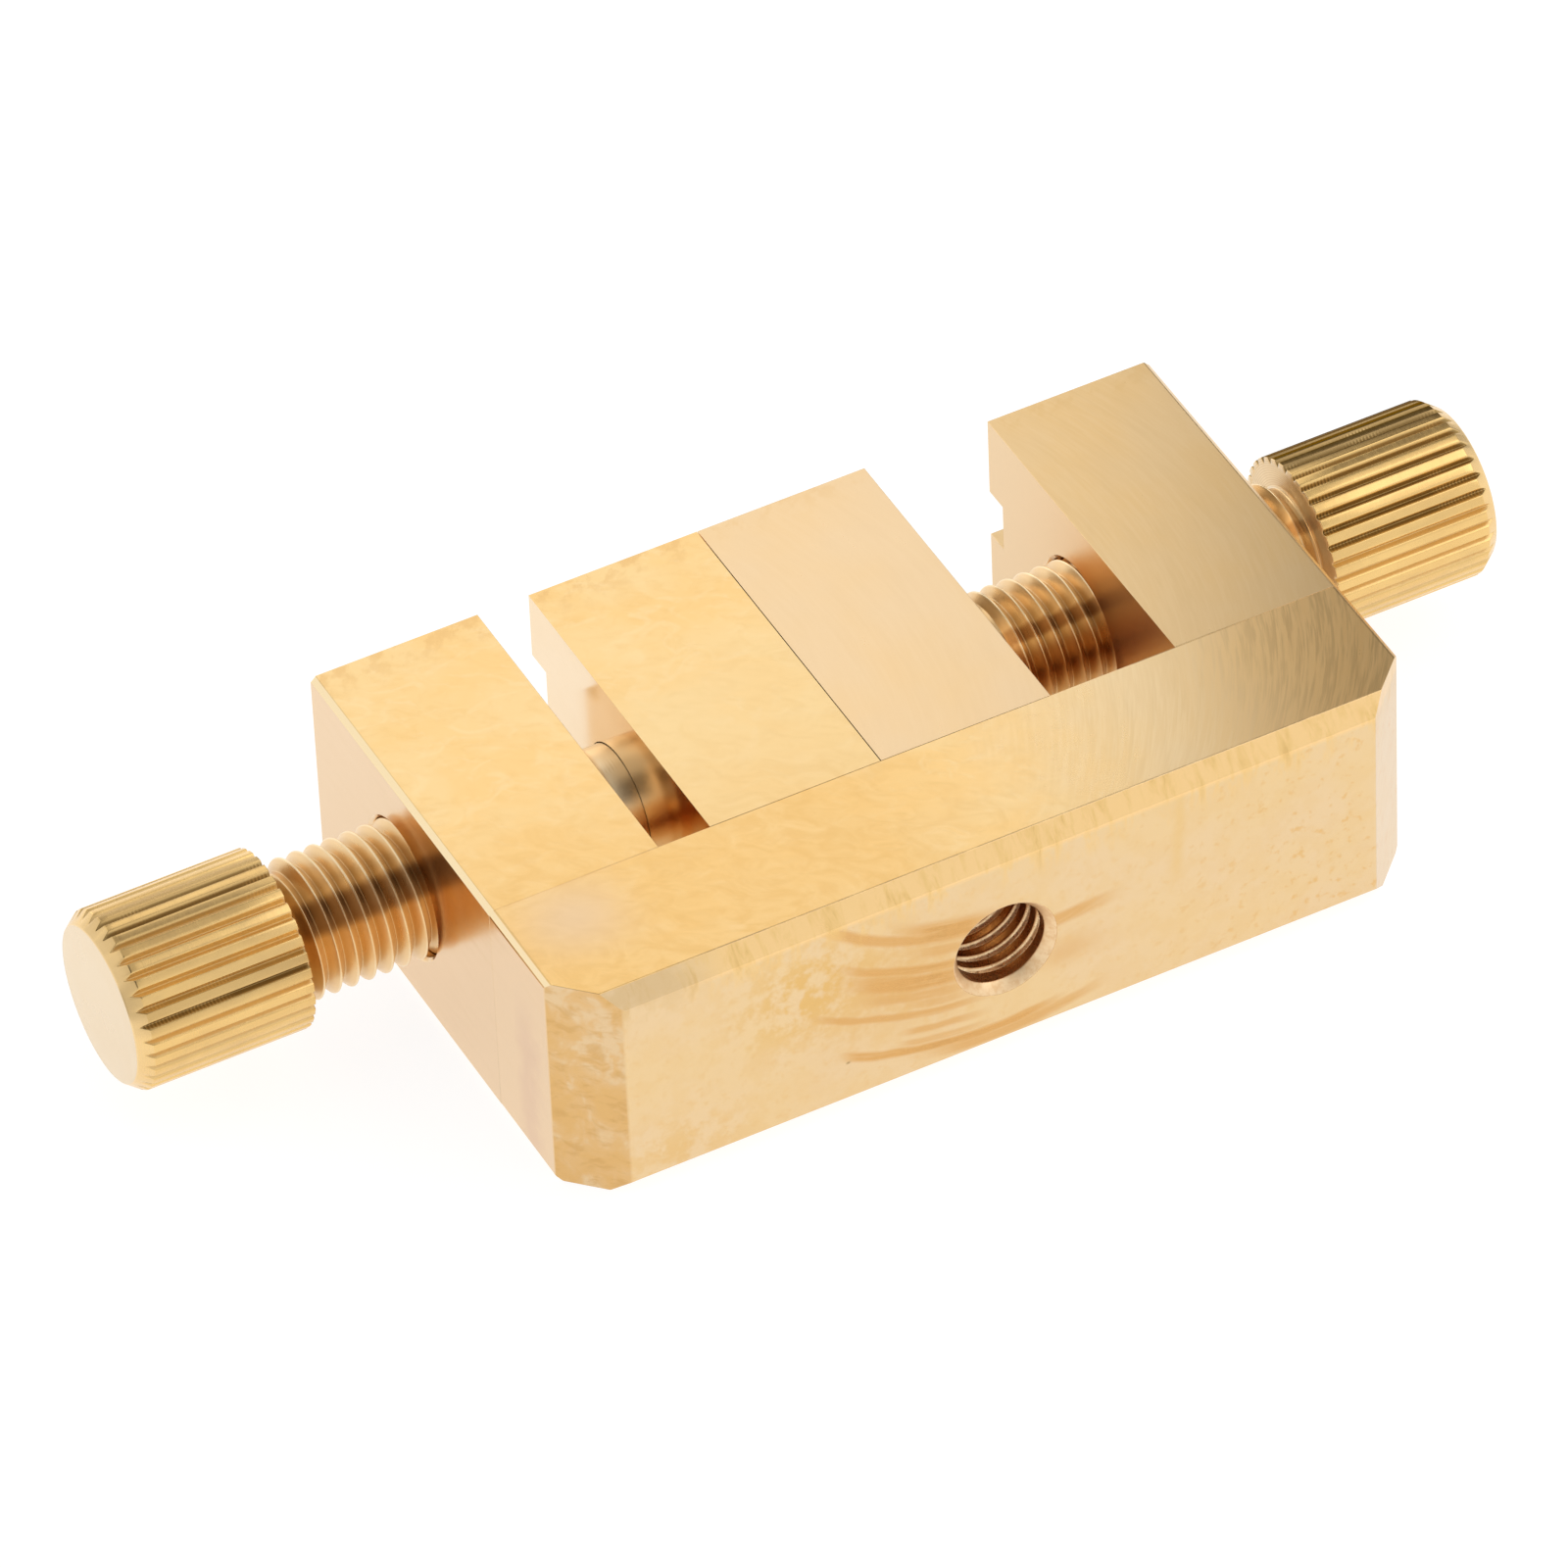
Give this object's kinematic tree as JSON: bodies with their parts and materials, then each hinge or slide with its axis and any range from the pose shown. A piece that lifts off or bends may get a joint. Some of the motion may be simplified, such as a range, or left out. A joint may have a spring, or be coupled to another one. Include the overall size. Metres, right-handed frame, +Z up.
{
  "type": "watch vise",
  "caption": "Small brass bench vise for watch work: a front rail with fixed end blocks, jaws that slide along it, a knurled thumbscrew for each jaw and a tapped hole in the rail's front face.",
  "frame": {"origin": "on the underside, below the line where the shut jaws meet, midway between the front face of the rail and the rear faces of the blocks", "axes": "+X along the thumbscrews to the right, +Y from the rail's front face to the rear, +Z up from the underside"},
  "size_m": [0.0808, 0.0296, 0.014],
  "materials": {
    "polished_brass": "hand-polished, faint smears",
    "satin_brass": "satin, fine milling grain",
    "turned_brass": "turned, straight knurl",
    "screw_steel": "plain steel"
  },
  "bodies": {
    "base": {"rail": "polished_brass", "left_end_block": "polished_brass", "right_end_block": "satin_brass", "left_block_screw_outer": "screw_steel", "left_block_screw_inner": "screw_steel", "right_block_screw_outer": "screw_steel", "right_block_screw_inner": "screw_steel"},
    "left_slide": {"left_jaw": "polished_brass", "left_jaw_pin_front": "screw_steel", "left_jaw_pin_rear": "screw_steel"},
    "right_slide": {"right_jaw": "satin_brass", "right_jaw_pin_front": "screw_steel", "right_jaw_pin_rear": "screw_steel"},
    "left_screw": {"left_thumbscrew": "turned_brass"},
    "right_screw": {"right_thumbscrew": "turned_brass"}
  },
  "joints": [
    {"name": "left_jaw_travel", "type": "slide", "parent": "base", "child": "left_slide", "axis": [1, 0, 0], "range_m": [-0.0029, 0]},
    {"name": "left_screw_turn", "type": "hinge", "parent": "left_slide", "child": "left_screw", "pos_m": [-0.0226, 0.0049, 0.007], "axis": [1, 0, 0], "range_deg": [-1045, 0]},
    {"name": "right_jaw_travel", "type": "slide", "parent": "base", "child": "right_slide", "axis": [1, 0, 0], "range_m": [0, 0.0073]},
    {"name": "right_screw_turn", "type": "hinge", "parent": "right_slide", "child": "right_screw", "pos_m": [0.0226, 0.0049, 0.007], "axis": [1, 0, 0], "range_deg": [0, 2629]}
  ],
  "couplings": [
    {"joint": "left_screw_turn", "follows": "left_jaw_travel", "rad_per_m": 6283.2},
    {"joint": "right_screw_turn", "follows": "right_jaw_travel", "rad_per_m": 6283.2}
  ]
}
